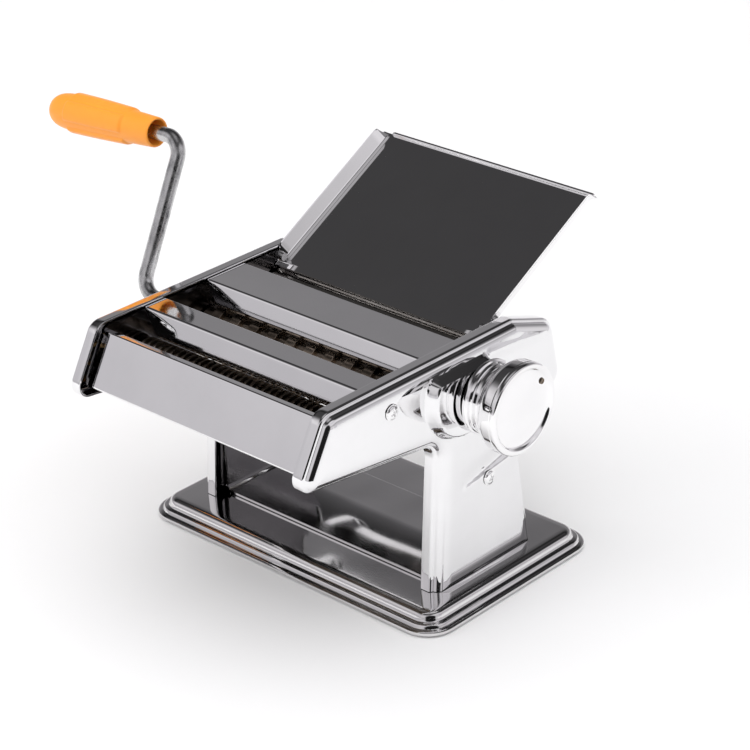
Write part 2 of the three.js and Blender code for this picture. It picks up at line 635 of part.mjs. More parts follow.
const middle = new THREE.Box3().setFromObject(machine, true).getCenter(new THREE.Vector3());
machine.position.set(-middle.x, -middle.y, 0);

export default machine;
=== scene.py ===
"""The pasta roller machine's looks: mirror chrome sheet, dark cutters, zinc crank, orange grip.

Lengths are millimetres from the middle of the base, turned into the frame's metres by at().
"""
import math

import bmesh
import bpy
import numpy as np
from mathutils import Matrix, Vector, geometry


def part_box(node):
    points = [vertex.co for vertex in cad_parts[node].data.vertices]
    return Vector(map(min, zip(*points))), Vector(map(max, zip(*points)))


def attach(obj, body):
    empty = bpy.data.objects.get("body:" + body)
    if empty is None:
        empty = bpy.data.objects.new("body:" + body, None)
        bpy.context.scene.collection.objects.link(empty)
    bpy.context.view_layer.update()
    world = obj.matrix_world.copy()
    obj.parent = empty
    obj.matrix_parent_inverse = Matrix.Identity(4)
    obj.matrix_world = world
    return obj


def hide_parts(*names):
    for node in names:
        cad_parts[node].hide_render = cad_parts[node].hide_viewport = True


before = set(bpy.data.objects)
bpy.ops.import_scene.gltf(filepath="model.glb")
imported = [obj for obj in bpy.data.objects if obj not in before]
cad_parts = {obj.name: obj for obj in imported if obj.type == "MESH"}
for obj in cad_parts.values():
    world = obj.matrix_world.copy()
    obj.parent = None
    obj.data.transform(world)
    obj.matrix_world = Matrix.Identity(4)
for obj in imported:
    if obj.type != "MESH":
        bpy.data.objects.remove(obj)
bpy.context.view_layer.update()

MM = 0.001


def box(node):
    """A CAD node's lowest and highest corners, in the millimetres used below."""
    low, high = (Vector(corner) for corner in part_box(node))
    return (low - ORIGIN) / MM, (high - ORIGIN) / MM


def middle_of(node):
    low, high = box(node)
    return (low + high) / 2


ORIGIN = Vector((0, 0, 0))
_low, _high = (Vector(corner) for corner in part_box("base_plate"))
ORIGIN = Vector(((_low.x + _high.x) / 2, (_low.y + _high.y) / 2, 0))


def at(x, y, z):
    return ORIGIN + Vector((x, y, z)) * MM


BASE_LOW, BASE_HIGH = box("base_plate")
PLATE_IN = box("right_inner_plate")[0].x
PANEL_IN = box("right_side_panel")[0].x
HEAD_TOP = box("right_side_panel")[1].z
BOSS_X = box("right_side_panel")[1].x
PANEL_OUT = -box("left_side_panel")[0].x
COVER_END = box("rear_cover")[1].x
LEG_FOOT = box("right_side_panel")[0].z


# ---------- camera ----------
def set_camera():
    azimuth, elevation, roll = math.radians(42.82), math.radians(26.42), math.radians(-1.22)
    level = math.cos(elevation)
    away, aim = 1331.3, Vector((0, 0, 70))
    right_by, up_by = 4.889, 18.159
    back = Vector((math.sin(azimuth) * level, -math.cos(azimuth) * level, math.sin(elevation)))
    forward = -back
    right = forward.cross(Vector((0, 0, 1))).normalized()
    up = right.cross(forward)
    tilted_right = right * math.cos(roll) + up * math.sin(roll)
    tilted_up = up * math.cos(roll) - right * math.sin(roll)
    place = back * away + aim + tilted_right * right_by + tilted_up * up_by
    data = bpy.data.cameras.new("camera")
    data.lens = 123.67
    data.sensor_width = 36
    data.clip_start = 0.01
    data.clip_end = 20
    camera = bpy.data.objects.new("camera", data)
    bpy.context.collection.objects.link(camera)
    rotation = Matrix((tilted_right, tilted_up, back)).transposed().to_4x4()
    camera.matrix_world = Matrix.Translation(at(*place)) @ rotation
    bpy.context.scene.camera = camera


# ---------- materials ----------
def nodes_of(name):
    made = bpy.data.materials.new(name)
    made.use_nodes = True
    tree = made.node_tree
    shader = tree.nodes["Principled BSDF"]
    place = tree.nodes.new("ShaderNodeTexCoord")
    return made, tree, shader, place.outputs["Object"]


def noise(tree, place, scale, detail=3.0, roughness=0.5, stretch=None):
    if stretch:
        mapping = tree.nodes.new("ShaderNodeMapping")
        mapping.inputs["Scale"].default_value = stretch
        tree.links.new(place, mapping.inputs["Vector"])
        place = mapping.outputs["Vector"]
    node = tree.nodes.new("ShaderNodeTexNoise")
    node.inputs["Scale"].default_value = scale
    node.inputs["Detail"].default_value = detail
    node.inputs["Roughness"].default_value = roughness
    tree.links.new(place, node.inputs["Vector"])
    return node.outputs["Fac"]


def ramp(tree, factor, stops):
    node = tree.nodes.new("ShaderNodeValToRGB")
    bar = node.color_ramp
    while len(bar.elements) < len(stops):
        bar.elements.new(0.5)
    for element, (position, colour) in zip(bar.elements, stops):
        element.position = position
        element.color = (*colour, 1) if len(colour) == 3 else (colour[0],) * 3 + (1,)
    tree.links.new(factor, node.inputs["Fac"])
    return node.outputs["Color"]


def spread(tree, factor, low, high):
    node = tree.nodes.new("ShaderNodeMapRange")
    node.inputs["From Min"].default_value = 0.3
    node.inputs["From Max"].default_value = 0.7
    node.inputs["To Min"].default_value = low
    node.inputs["To Max"].default_value = high
    tree.links.new(factor, node.inputs["Value"])
    return node.outputs["Result"]


def bump(tree, shader, heights):
    """Chains bumps, each (height, strength, distance in metres)."""
    normal = None
    for height, strength, distance in heights:
        node = tree.nodes.new("ShaderNodeBump")
        node.inputs["Strength"].default_value = strength
        node.inputs["Distance"].default_value = distance
        tree.links.new(height, node.inputs["Height"])
        if normal is not None:
            tree.links.new(normal, node.inputs["Normal"])
        normal = node.outputs["Normal"]
    tree.links.new(normal, shader.inputs["Normal"])


def chrome(name, tint=(0.93, 0.925, 0.93), low=0.035, high=0.075, wave=0.25, dip=False):
    made, tree, shader, place = nodes_of(name)
    shader.inputs["Metallic"].default_value = 1
    cloud = noise(tree, place, 38, 4, 0.55)
    dull = tuple(value * 0.965 for value in tint)
    tree.links.new(ramp(tree, cloud, [(0.3, dull), (0.6, tint)]), shader.inputs["Base Color"])
    smear = noise(tree, place, 16, 5, 0.62, (1, 1, 2.4))
    tree.links.new(spread(tree, smear, low, high), shader.inputs["Roughness"])
    waves = noise(tree, place, 17, 1, 0.4)
    grain = noise(tree, place, 900, 2, 0.5)
    heights = [(waves, wave, 0.0006), (grain, 0.02, 0.00004)]
    if dip:  # the sheet's front half falls away a little towards its edge
        parts = tree.nodes.new("ShaderNodeSeparateXYZ")
        tree.links.new(place, parts.inputs["Vector"])
        fall = tree.nodes.new("ShaderNodeMapRange")
        fall.interpolation_type = "SMOOTHSTEP"
        fall.inputs["From Min"].default_value = ORIGIN.y - 0.045
        fall.inputs["From Max"].default_value = ORIGIN.y + 0.002
        tree.links.new(parts.outputs["Y"], fall.inputs["Value"])
        heights.append((fall.outputs["Result"], 1.0, 0.0042))
    bump(tree, shader, heights)
    return made


def zinc(name, dark=0.30, light=0.62, low=0.2, high=0.42):
    made, tree, shader, place = nodes_of(name)
    shader.inputs["Metallic"].default_value = 1
    mottle = noise(tree, place, 130, 6, 0.65, (1, 1, 0.45))
    tree.links.new(ramp(tree, mottle, [
        (0.3, (dark, dark * 1.02, dark * 1.06)), (0.5, (light * 0.85,) * 3),
        (0.72, (light, light, light * 1.02)),
    ]), shader.inputs["Base Color"],)
    tree.links.new(spread(tree, noise(tree, place, 240, 4, 0.6), low, high), shader.inputs["Roughness"])
    bump(tree, shader, [(noise(tree, place, 420, 4, 0.6), 0.25, 0.00012)])
    return made


def dark_steel(name, dark=(0.045, 0.034, 0.028), light=(0.17, 0.135, 0.11), gloss=(0.24, 0.42)):
    made, tree, shader, place = nodes_of(name)
    shader.inputs["Metallic"].default_value = 1
    film = noise(tree, place, 90, 5, 0.6, (0.3, 1, 1))
    tree.links.new(ramp(tree, film, [(0.3, dark), (0.68, light)]), shader.inputs["Base Color"])
    tree.links.new(spread(tree, noise(tree, place, 300, 3, 0.5), *gloss), shader.inputs["Roughness"])
    turned = noise(tree, place, 700, 2, 0.5, (3, 0.3, 0.3))
    bump(tree, shader, [(turned, 0.2, 0.00005)])
    return made


def bronze(name):
    made, tree, shader, place = nodes_of(name)
    shader.inputs["Metallic"].default_value = 1
    tree.links.new(
        ramp(tree, noise(tree, place, 160, 4, 0.6), [(0.3, (0.28, 0.17, 0.06)), (0.7, (0.62, 0.42, 0.19))]),
        shader.inputs["Base Color"],
    )
    tree.links.new(spread(tree, noise(tree, place, 420, 3, 0.6), 0.3, 0.5), shader.inputs["Roughness"])
    bump(tree, shader, [(noise(tree, place, 1200, 2, 0.6), 0.2, 0.00005)])
    return made


def orange_plastic(name):
    made, tree, shader, place = nodes_of(name)
    tone = noise(tree, place, 24, 3, 0.5)
    tree.links.new(
        ramp(tree, tone, [(0.3, (0.98, 0.335, 0.030)), (0.7, (1.0, 0.375, 0.042))]),
        shader.inputs["Base Color"],
    )
    tree.links.new(spread(tree, noise(tree, place, 60, 4, 0.6), 0.36, 0.5), shader.inputs["Roughness"])
    shader.inputs["Subsurface Weight"].default_value = 0.12
    shader.inputs["Subsurface Radius"].default_value = (0.004, 0.0015, 0.0005)
    shader.inputs["Subsurface Scale"].default_value = 1.0
    shader.inputs["IOR"].default_value = 1.49
    bump(
        tree, shader,
        [(noise(tree, place, 1100, 3, 0.5), 0.1, 0.00006), (noise(tree, place, 45, 2, 0.4), 0.08, 0.0004)],
    )
    return made


def black_rubber(name):
    made, tree, shader, place = nodes_of(name)
    tree.links.new(
        ramp(tree, noise(tree, place, 120, 5, 0.65), [(0.3, (0.010,) * 3), (0.7, (0.030,) * 3)]),
        shader.inputs["Base Color"],
    )
    tree.links.new(spread(tree, noise(tree, place, 500, 3, 0.6), 0.6, 0.85), shader.inputs["Roughness"])
    bump(tree, shader, [(noise(tree, place, 1500, 3, 0.6), 0.3, 0.0001)])
    return made


CHROME = chrome("chrome_sheet", (0.86, 0.855, 0.865))
CHROME_TRAY = chrome("chrome_tray", low=0.03, high=0.06, wave=0.12)
CHROME_BASE = chrome("chrome_base", tint=(0.74, 0.73, 0.735), low=0.045, high=0.1, wave=0.7)
CHROME_PANEL = chrome("chrome_panel", (0.88, 0.878, 0.885), 0.03, 0.06, 0.12)
STAND_FLOOR = chrome("stand_floor", (0.74, 0.73, 0.735), 0.045, 0.1, 0.9, dip=True)
# The stand's side walls: the same chrome sheet as its floor, tinted near black as painted shade.
STAND_WALL_PAINTED_SHADE = chrome("stand_wall_painted_shade", (0.16, 0.155, 0.16), 0.12, 0.24, 0.9)
CHROME_KNOB = chrome("chrome_knob", low=0.03, high=0.06, wave=0.05)
ZINC = zinc("zinc_steel")
CRANK_ZINC = zinc("zinc_crank", 0.24, 0.66, 0.16, 0.36)
DARK = dark_steel("dark_steel", (0.10, 0.075, 0.055), (0.42, 0.35, 0.28))
ROLLER = dark_steel("roller_steel", (0.42, 0.38, 0.34), (0.72, 0.69, 0.65), (0.1, 0.2))
# The inner plates: chrome tinted near black, painted shade for the dark inside of the head.
INNER_PLATE_PAINTED_SHADE = chrome("inner_plate_painted_shade", (0.13, 0.125, 0.13), 0.1, 0.2, 0.3)
BRONZE = bronze("bronze")
ORANGE = orange_plastic("orange_plastic")
RUBBER = black_rubber("black_rubber")


# ---------- mesh tools ----------
def piece(name, verts, faces, material, body, replaced=(), sharp=38, weighted=True):
    mesh = bpy.data.meshes.new(name)
    mesh.from_pydata([at(*v) for v in verts], [], faces)
    work = bmesh.new()
    work.from_mesh(mesh)
    bmesh.ops.remove_doubles(work, verts=work.verts, dist=1e-6)
    bmesh.ops.dissolve_degenerate(work, edges=work.edges, dist=1e-7)
    bmesh.ops.recalc_face_normals(work, faces=work.faces)
    work.to_mesh(mesh)
    work.free()
    mesh.polygons.foreach_set("use_smooth", [True] * len(mesh.polygons))
    mesh.set_sharp_from_angle(angle=math.radians(sharp))
    mesh.materials.append(material)
    made = bpy.data.objects.new(name, mesh)
    bpy.context.collection.objects.link(made)
    if weighted:
        modifier = made.modifiers.new("weighted_normals", "WEIGHTED_NORMAL")
        modifier.keep_sharp = True
    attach(made, body)
    if replaced:
        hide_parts(*replaced)
    return made


def turned(arm, angle):
    """A flat vector turned by an angle."""
    cos, sin = math.cos(angle), math.sin(angle)
    return Vector((arm.x * cos - arm.y * sin, arm.x * sin + arm.y * cos))


def rounded(corners, steps=8):
    """A closed outline with rounded corners and the outward normal at each point."""
    points, normals = [], []
    count = len(corners)
    area = sum(a[0] * b[1] - b[0] * a[1] for a, b in zip(corners, corners[1:] + corners[:1]))
    turn = 1 if area > 0 else -1
    for i, (y, z, radius) in enumerate(corners):
        corner = Vector((y, z))
        before = (Vector(corners[i - 1][:2]) - corner).normalized()
        after = (Vector(corners[(i + 1) % count][:2]) - corner).normalized()
        out_before = Vector((-before.y, before.x)) * turn
        out_after = Vector((after.y, -after.x)) * turn
        if radius == 0:
            points.append(corner)
            normals.append(Vector((math.copysign(1, out_before.x + out_after.x), 0)))
            continue
        half = before.angle(after) / 2
        centre = corner + (before + after).normalized() * (radius / math.sin(half))
        start = corner + before * (radius / math.tan(half)) - centre
        sweep = math.pi - 2 * half
        side = -math.copysign(1, before.cross(after))
        convex = (out_before + out_after).dot(start) > 0
        for k in range(steps + 1):
            angle = side * sweep * k / steps
            arm = turned(start, angle)
            points.append(centre + arm)
            normals.append(arm.normalized() * (1 if convex else -1))
    return points, normals


def bridge(rings, closed=True, loop=False):
    """Quads between successive equal rings of indices."""
    faces = []
    pairs = list(zip(rings, rings[1:])) + ([(rings[-1], rings[0])] if loop else [])
    for first, second in pairs:
        count = len(first)
        for k in range(count if closed else count - 1):
            n = (k + 1) % count
            faces.append((first[k], first[n], second[n], second[k]))
    return faces


def sheet_ends(rings):
    """Quads closing both ends of a sheet, whose rings run out along one face and back along the other."""
    faces = []
    for ring in (rings[0], rings[-1]):
        last = len(ring) - 1
        for i in range(len(ring) // 2 - 1):
            faces.append((ring[i], ring[i + 1], ring[last - 1 - i], ring[last - i]))
    return faces


def lathe(name, profile, y, z, material, body, replaced=(), segments=64, side=1, sharp=38):
    """Revolves [x, radius] points about an axis along X; a radius of 0 closes the end."""
    verts, rings = [], []
    for x, r in profile:
        ring = []
        for k in range(segments):
            a = 2 * math.pi * k / segments
            ring.append(len(verts))
            verts.append((side * x, y + r * math.cos(a), z + r * math.sin(a)))
        rings.append(ring)
    return piece(name, verts, bridge(rings), material, body, replaced, sharp)


def fillet(line, radius, steps=5):
    """Rounds the inner corners of an open line; radius is one number or one for each corner."""
    out = [Vector(line[0])]
    for i in range(1, len(line) - 1):
        r = radius[i - 1] if isinstance(radius, (list, tuple)) else radius
        corner = Vector(line[i])
        before = (Vector(line[i - 1]) - corner)
        after = (Vector(line[i + 1]) - corner)
        if r <= 0:
            out.append(corner)
            continue
        half = before.angle(after) / 2
        reach = min(r / math.tan(half), before.length * 0.48, after.length * 0.48)
        r = reach * math.tan(half)
        before.normalize()
        after.normalize()
        centre = corner + (before + after).normalized() * (r / math.sin(half))
        start = corner + before * reach - centre
        sweep = math.pi - 2 * half
        side = -math.copysign(1, before.cross(after))
        for k in range(steps + 1):
            angle = side * sweep * k / steps
            out.append(centre + turned(start, angle))
    out.append(Vector(line[-1]))
    return out


def thicken(line, thickness):
    """The line's points moved to its left by the sheet's thickness."""
    moved = []
    for i, point in enumerate(line):
        first = (point - line[i - 1]).normalized() if i else (line[1] - point).normalized()
        second = (line[i + 1] - point).normalized() if i < len(line) - 1 else first
        normal = Vector((-first.y - second.y, first.x + second.x)).normalized()
        moved.append(point + normal * (thickness / max(normal.dot(Vector((-first.y, first.x))), 0.3)))
    return moved


def strip(name, line, thickness, half, material, body, replaced, radius=1.2, columns=1):
    """A bent sheet along X from a (y, z) line; half gives half its length at each place on the line."""
    outer = fillet(line, radius)
    inner = thicken(outer, thickness)
    run = [0.0]
    for a, b in zip(outer, outer[1:]):
        run.append(run[-1] + (b - a).length)
    total = run[-1]
    verts, rings = [], []
    for k in range(columns + 1):
        share = -1 + 2 * k / columns
        ring = []
        for points, order in ((outer, range(len(outer))), (inner, range(len(outer) - 1, -1, -1))):
            for i in order:
                ring.append(len(verts))
                verts.append((share * half(run[i] / total, points[i]), points[i].x, points[i].y))
        rings.append(ring)
    faces = bridge(rings) + sheet_ends(rings)
    return piece(name, verts, faces, material, body, replaced)


def smooth(value, low=0.0, high=1.0):
    t = min(max((value - low) / (high - low), 0), 1)
    return t * t * (3 - 2 * t)


# ---------- base and feet ----------
def rectangle(width, depth, corner, steps=10):
    w, d = width / 2, depth / 2
    return rounded([(w, d, corner), (-w, d, corner), (-w, -d, corner), (w, -d, corner)], steps)


def make_base():
    width, depth = BASE_HIGH.x - BASE_LOW.x, BASE_HIGH.y - BASE_LOW.y
    top, bottom = BASE_HIGH.z, BASE_LOW.z
    outline, normals = rectangle(width, depth, 16)
    # Distance in from the rim and height, up the outside of the pressing and back under it.
    outside = [
        (1.6, bottom), (0.7, bottom + 0.15), (0.15, bottom + 0.7), (0, bottom + 1.4), (0.2, bottom + 2.1),
        (0.8, bottom + 2.6), (1.6, bottom + 2.75), (2.3, bottom + 2.8), (2.75, bottom + 3.0),
        (3.0, bottom + 3.5), (3.2, bottom + 4.1), (3.6, bottom + 4.65), (4.3, bottom + 4.95),
        (5.2, bottom + 5.0), (5.9, bottom + 5.15), (6.3, bottom + 5.6), (6.6, bottom + 6.6),
        (6.95, bottom + 7.7), (7.5, top - 1.0), (8.3, top - 0.45), (9.3, top - 0.12), (10.6, top),
        (12.5, top),
    ]
    inside = [
        (12.5, top - 1.2), (10.6, top - 1.2), (9.3, top - 1.5), (8.3, top - 2.4), (7.9, top - 4.2),
        (6.4, bottom + 3.85), (4.6, bottom + 3.6), (4.2, bottom + 1.9), (3.4, bottom + 1.5),
        (2.4, bottom + 0.9), (1.6, bottom + 0.5), (1.6, bottom),
    ]
    verts, rings = [], []
    for inset, height in outside + inside:
        ring = []
        for point, normal in zip(outline, normals):
            ring.append(len(verts))
            verts.append((point.x - normal.x * inset, point.y - normal.y * inset, height))
        rings.append(ring)
    split = len(outside)
    faces = bridge(rings[:split]) + bridge(rings[split:])
    faces += [tuple(rings[split - 1]), tuple(reversed(rings[split]))]
    piece("base_pan", verts, faces, CHROME_BASE, "chassis", ("base_plate",), 30)


def make_feet():
    sides = 40
    for corner in ("front_left", "front_right", "rear_left", "rear_right"):
        node = f"rubber_foot_{corner}"
        low, high = box(node)
        middle, r = (low + high) / 2, (high.x - low.x) / 2
        profile = [
            (0.9, 0), (0.9, 2.2), (0.5, 3.0), (0, 3.6), (0, 5.6), (0.35, r - 1.0), (1.1, r - 0.35), (2, r),
            (3.4, r), (3.8, r - 0.5), (4.4, r - 0.5), (4.8, r), (high.z - 0.6, r), (high.z, r - 0.6),
            (high.z, 0),
        ]
        verts, rings = [], []
        for height, radius in profile:
            ring = []
            for k in range(sides):
                a = 2 * math.pi * k / sides
                ring.append(len(verts))
                verts.append((middle.x + radius * math.cos(a), middle.y + radius * math.sin(a), height))
            rings.append(ring)
        piece(f"foot_{corner}", verts, bridge(rings), RUBBER, "chassis", (node,))


def make_stand():
    low, high = box("stand_bracket")
    line = [(-high.x, high.z), (-high.x, low.z), (high.x, low.z), (high.x, high.z)]
    outer = fillet(line, 4, 8)
    inner = thicken(outer, 1.5)
    verts, rings = [], []
    for y in (low.y, low.y + 0.35, high.y - 0.35, high.y):
        trim = 0.3 if y in (low.y, high.y) else 0
        ring = []
        for points, shift in ((outer, trim), (list(reversed(inner)), -trim)):
            for p in points:
                toward = Vector((0, 40)) - p
                toward.normalize()
                q = p + toward * shift
                ring.append(len(verts))
                verts.append((q.x, y, max(q.y, low.z)))
        rings.append(ring)
    faces = bridge(rings) + sheet_ends(rings)
    made = piece("stand_plate", verts, faces, STAND_FLOOR, "chassis", ("stand_bracket",))
    made.data.materials.append(STAND_WALL_PAINTED_SHADE)
    # Faces on the side walls take the near-black copy of the chrome, painted shade.
    for polygon in made.data.polygons:
        corner_x = abs((made.data.vertices[polygon.vertices[0]].co.x - ORIGIN.x) / MM)
        if corner_x > high.x - 2.5 and abs(polygon.normal.x) > 0.3:
            polygon.material_index = 1


# ---------- side panels ----------
PANEL_OUTLINE = [
    (-113.7, HEAD_TOP, 9), (-133, 102.6, 7), (-36.5, 91.3, 8), (-41, LEG_FOOT, 0), (36, LEG_FOOT, 0),
    (23.5, 85.5, 10), (60.5, 89.5, 11), (52.5, 127.5, 10), (22, HEAD_TOP, 6),
]
SKIN = 1.2
GRID_FRONT, GRID_DEPTH = -136, 200  # the stretch along Y that the face's grid covers
SHOULDER_START, SHOULDER_END, SHOULDER_X = 2.0, 10.5, 4.2
SPINDLE = middle_of("adjuster_knob")
SPINDLE_HOLE = 9.3
HOLE_SIDES = 40
SOCKET_HOLE = 7.5
BOSS = (-24.0, 118.0)
BOSS_R = 24.0


def ease(value, low, high):
    t = np.clip((value - low) / (high - low), 0, 1)
    return t * t * (3 - 2 * t)


def off_line(points, a, b):
    """Distance of each point from a segment, and how far along it the nearest place is."""
    a, b = np.array(a, float), np.array(b, float)
    line = b - a
    t = np.clip(((points - a) @ line) / (line @ line), 0, 1)
    return np.linalg.norm(points - a - t[:, None] * line, axis=1), t


def depth_inside(points, border):
    """Each point's distance from a closed outline, and whether it lies inside it."""
    start, stop = border, np.roll(border, -1, axis=0)
    line = stop - start
    rel = points[:, None, :] - start[None, :, :]
    t = np.clip((rel * line).sum(2) / (line * line).sum(1), 0, 1)
    gap = np.linalg.norm(rel - t[:, :, None] * line, axis=2)
    y, z = points[:, :1], points[:, 1:]
    crosses = (start[:, 1] > z) != (stop[:, 1] > z)
    with np.errstate(divide="ignore", invalid="ignore"):
        where = line[:, 0] * (z - start[:, 1]) / line[:, 1] + start[:, 0]
    return gap, (np.logical_and(crosses, y < where).sum(1) % 2) == 1


def face_height(points, border, open_edges, knob_side):
    """X of the pressed face at each (y, z): its rounded shoulder, boss, top bead and the step on the leg."""
    gap, _ = depth_inside(points, border)
    gap[:, open_edges] = 1e3
    depth = gap.min(1)
    u = np.clip((depth - SHOULDER_START) / (SHOULDER_END - SHOULDER_START), 0, 1)
    height = PANEL_OUT - SHOULDER_X + SHOULDER_X * np.sqrt(np.clip(1 - (1 - u) ** 2.2, 0, 1))
    y, z = points[:, 0], points[:, 1]
    if knob_side:
        r = np.hypot(y - BOSS[0], z - BOSS[1])
        swelling = 1 - ease(r, BOSS_R - 2.6, BOSS_R + 0.3)
        height += (BOSS_X - PANEL_OUT) * swelling * (1 - ease(z, 128.4, 130.6))
    bead, _ = off_line(points, (0, 128.6), (40, 125.0))
    height += 0.7 * (1 - ease(bead, 0.6, 3.4))
    start, stop = np.array((-21.5, 61.4)), np.array((14.6, 65.4))
    _, t = off_line(points, start, stop)
    across = (points - start) @ (np.array((-4.0, 36.1)) / np.hypot(4.0, 36.1))
    drop = 0.7 + 3.3 * t
    step = ease(across, 0, drop) * (1 - ease(across, drop, drop + 13))
    height -= (0.5 + 1.7 * t) * step * ease(y, -22.5, -20) * (1 - ease(y, 14.2, 15.0))
    return height


def make_panel(name, node, side, holes):
    outline, normals = rounded(PANEL_OUTLINE, 10)
    count = len(outline)
    foot = [i for i, point in enumerate(outline) if abs(point.y - LEG_FOOT) < 1e-6]
    border = np.array([tuple(p) for p in outline])
    verts, faces, loops = [], [], {}
    open_edges = [k for k in range(count) if k in foot and (k + 1) % count in foot]
    for layer, drop in (("outer", 0.0), ("inner", SKIN)):
        rim = PANEL_OUT - SHOULDER_X
        if layer == "outer":
            profile = [
                (PANEL_IN, 0.25), (PANEL_IN + 0.25, 0), (PANEL_IN + 2, 0), (rim - 2.0, 0), (rim - 1.4, 0.06),
                (rim - 0.9, 0.28), (rim - 0.5, 0.75), (rim - 0.28, 1.3), (rim - 0.2, 1.7), (rim, 2.0),
            ]
        else:
            profile = [
                (PANEL_IN, 1.0), (PANEL_IN + 0.25, SKIN), (rim - 1.8, SKIN), (rim - 1.4, 1.9),
                (rim - 1.2, 2.6),
            ]
        for inset in (2.04, 2.12, 2.3, 2.6, 3.0, 3.5, 4.2, 5.0):
            if inset > profile[-1][1]:
                u = (inset - SHOULDER_START) / (SHOULDER_END - SHOULDER_START)
                profile.append((rim + SHOULDER_X * math.sqrt(1 - (1 - u) ** 2.2) - drop, inset))
        rings = []
        for x, inset in profile:
            ring = []
            for point, normal in zip(outline, normals):
                ring.append(len(verts))
                verts.append((side * x, point.x - normal.x * inset, point.y - normal.y * inset))
            rings.append(ring)
        for first, second in zip(rings, rings[1:]):
            for k in range(count):
                n = (k + 1) % count
                if k not in open_edges:
                    faces.append((first[k], first[n], second[n], second[k]))
        loops[layer] = rings[0]
        # The pressed face, on a fine grid inside the last ring.
        edge = rings[-1]
        ring_points = np.array([verts[i][1:] for i in edge])
        spacing = 0.95 if layer == "outer" else 2.4
        rows = int((HEAD_TOP - LEG_FOOT) / spacing) + 1
        grid = np.array([
            (GRID_FRONT + spacing * (i + 0.5 * (j % 2)), LEG_FOOT + spacing * (j + 0.5))
            for j in range(rows) for i in range(int(GRID_DEPTH / spacing))
        ])
        gap, within = depth_inside(grid, ring_points)
        keep = within & (gap.min(1) > spacing * 0.5)
        for hy, hz, hr in holes:
            keep &= np.hypot(grid[:, 0] - hy, grid[:, 1] - hz) > hr + spacing * 0.6
        points = [Vector(p) for p in ring_points]
        edges = [(i, (i + 1) % count) for i in range(count)]
        for hy, hz, hr in holes:
            first = len(points)
            turns = [2 * math.pi * k / HOLE_SIDES for k in range(HOLE_SIDES)]
            points += [Vector((hy + hr * math.cos(turn), hz + hr * math.sin(turn))) for turn in turns]
            edges += [(first + k, first + (k + 1) % HOLE_SIDES) for k in range(HOLE_SIDES)]
        points += [Vector(p) for p in grid[keep]]
        found, _, tris, came_from, *_ = geometry.delaunay_2d_cdt(points, edges, [], 0, 1e-5)
        flat = np.array([tuple(v) for v in found])
        heights = face_height(flat, border, open_edges, side > 0) - drop
        ids = []
        for v, x, came in zip(found, heights, came_from):
            if came and came[0] < count:
                ids.append(edge[came[0]])
            else:
                ids.append(len(verts))
                verts.append((side * float(x), v.x, v.y))
        centres = flat[np.array(tris)].mean(1)
        _, within = depth_inside(centres, ring_points)
        for hy, hz, hr in holes:
            within &= np.hypot(centres[:, 0] - hy, centres[:, 1] - hz) > hr - 0.02
        faces += [tuple(ids[i] for i in tri) for tri, ok in zip(tris, within) if ok]
    for k in range(count):
        n = (k + 1) % count
        if k not in open_edges:
            faces.append((loops["outer"][k], loops["outer"][n], loops["inner"][n], loops["inner"][k]))
    return piece(name, verts, faces, CHROME_PANEL, "chassis", (node,), 55)


def make_eyelet(name, y, z, x, side, inner, outer):
    profile = [
        (x - 1.4, inner), (x + 0.2, inner), (x + 0.75, inner + 0.25), (x + 0.9, inner + 0.7),
        (x + 0.75, outer - 0.5), (x + 0.1, outer), (x - 0.1, outer),
    ]
    lathe(name, profile, y, z, CHROME, "chassis", (), 48, side)


HEAD_R, WASHER_R, SHANK_R = 3.5, 4.2, 1.8
SCREW_SIDES, DOME_STEPS = 64, 14


def make_screw(name, node, side):
    """A domed, cross-slotted head on a plain washer, in place of the CAD screw."""
    low, high = box(node)
    middle = (low + high) / 2
    face = max(abs(low.x), abs(high.x)) - 1.6
    verts, rings = [], []
    for k in range(DOME_STEPS + 1):
        share = k / DOME_STEPS
        r = HEAD_R * (1 - share)
        dome = 0.25 + 1.35 * math.sqrt(max(1 - (r / (HEAD_R * 1.06)) ** 2, 0))
        ring = []
        for s in range(SCREW_SIDES):
            a = 2 * math.pi * s / SCREW_SIDES
            u, v = r * math.cos(a), r * math.sin(a)
            arm = min(abs(u * 0.94 + v * 0.34), abs(-u * 0.34 + v * 0.94))
            recess = (1 - smooth(arm, 0.22, 0.5)) * (1 - smooth(r, 1.5, 2.1))
            ring.append(len(verts))
            verts.append((side * (face + dome - 0.75 * recess), middle.y + u, middle.z + v))
        rings.append(ring)

    def circle(x, r):
        first = len(verts)
        for s in range(SCREW_SIDES):
            a = 2 * math.pi * s / SCREW_SIDES
            verts.append((side * x, middle.y + r * math.cos(a), middle.z + r * math.sin(a)))
        return list(range(first, len(verts)))

    skirt = [circle(face + x, r) for x, r in ((-0.05, WASHER_R), (0.2, WASHER_R), (0.3, 4.05), (0.3, HEAD_R))]
    tip = min(abs(low.x), abs(high.x))
    shank = [circle(x, r) for x, r in ((face - 0.05, SHANK_R), (tip + 0.4, SHANK_R), (tip, 1.4), (tip, 0))]
    faces = bridge(rings) + bridge(skirt) + bridge(shank)
    faces += bridge([skirt[-1], rings[0]]) + bridge([skirt[0], shank[0]])
    piece(name, verts, faces, CHROME_KNOB, "chassis", (node,))


# ---------- covers and guard ----------
def full(share, point):
    return COVER_END


